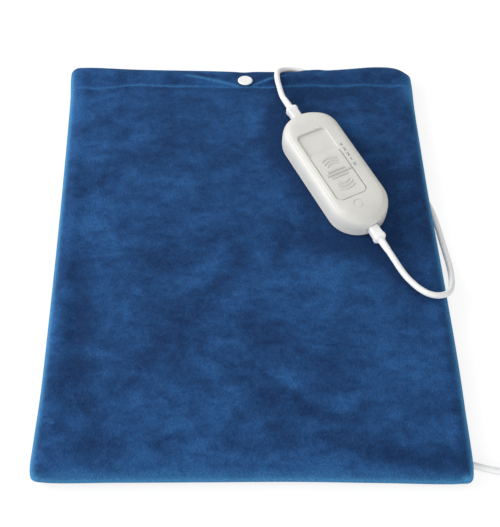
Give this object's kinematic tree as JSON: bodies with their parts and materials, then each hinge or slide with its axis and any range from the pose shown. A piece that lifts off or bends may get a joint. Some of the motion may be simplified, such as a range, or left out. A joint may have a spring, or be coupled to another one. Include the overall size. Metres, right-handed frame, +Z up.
{
  "type": "heating pad with controller",
  "caption": "Soft plush electric heating pad with a snap-closed cover, an oval slide-switch handset lying on it, its leads, and a coiled mains lead with a flat plug.",
  "frame": {"origin": "middle of the pad's footprint, on the surface that it lies on", "axes": "+Z up out of the pad, +Y towards the hem with the press stud, +X towards the side that the mains lead leaves by"},
  "size_m": [0.4397, 0.4, 0.0393],
  "materials": {
    "plush": "short plush pile with a soft mottled sheen",
    "felt": "thin non-woven sheet",
    "wadding": "soft bonded wadding",
    "casing": "fine satin moulding",
    "white_plastic": "smooth satin",
    "white_cord": "smooth flexible sheath",
    "black_plastic": "satin",
    "board_green": "lacquered laminate",
    "terminal_green": "satin",
    "amber_plastic": "dipped gloss",
    "red_plastic": "translucent gloss",
    "lens_plastic": "frosted gloss",
    "core_insulation": "smooth thin insulation",
    "copper": "bright drawn wire",
    "brass": "stamped spring strip",
    "steel": "bright zinc",
    "nickel_plate": "nickel plate",
    "clear_glass": "clear tube"
  },
  "bodies": {
    "pad_and_handset": {"cover_front_panel": "plush", "cover_back_panel": "plush", "snap_cap_front": "white_plastic", "snap_cap_back": "white_plastic", "snap_socket": "white_plastic", "snap_stud": "white_plastic", "heater_bottom_sheet": "felt", "heater_top_sheet": "felt", "heater_edge_band": "felt", "heater_wadding": "wadding", "thermal_cutout_1": "black_plastic", "thermal_cutout_2": "black_plastic", "heating_wire": "copper", "heater_lead_gland": "white_plastic", "pad_lead": "white_cord", "handset_top_shell": "casing", "handset_bottom_shell": "casing", "detent_spring": "steel", "circuit_board": "board_green", "glass_fuse": "clear_glass", "film_capacitor": "amber_plastic", "power_triac": "black_plastic", "indicator_led": "red_plastic", "indicator_lens": "lens_plastic", "mains_terminal_block": "terminal_green", "pad_terminal_block": "terminal_green", "casing_screw_1": "steel", "casing_screw_2": "steel", "casing_screw_3": "steel", "casing_screw_4": "steel", "mains_lead_relief": "white_plastic", "pad_lead_relief": "white_plastic", "mains_core_1": "core_insulation", "mains_core_2": "core_insulation", "pad_core_1": "core_insulation", "pad_core_2": "core_insulation", "mains_lead": "white_cord", "mains_coil": "white_cord", "coil_tie": "white_plastic", "plug_lead": "white_cord", "plug_body": "white_plastic", "plug_relief": "white_plastic", "plug_pin_1": "nickel_plate", "plug_pin_2": "nickel_plate", "pin_sleeve_1": "black_plastic", "pin_sleeve_2": "black_plastic"},
    "slider": {"slider_knob": "casing", "slider_carriage": "black_plastic", "contact_spring_1": "brass", "contact_spring_2": "brass"}
  },
  "joints": [
    {"name": "heat_slider", "type": "slide", "parent": "pad_and_handset", "child": "slider", "axis": [-0.4384, 0.8988, 0], "range_m": [0, 0.023]}
  ]
}
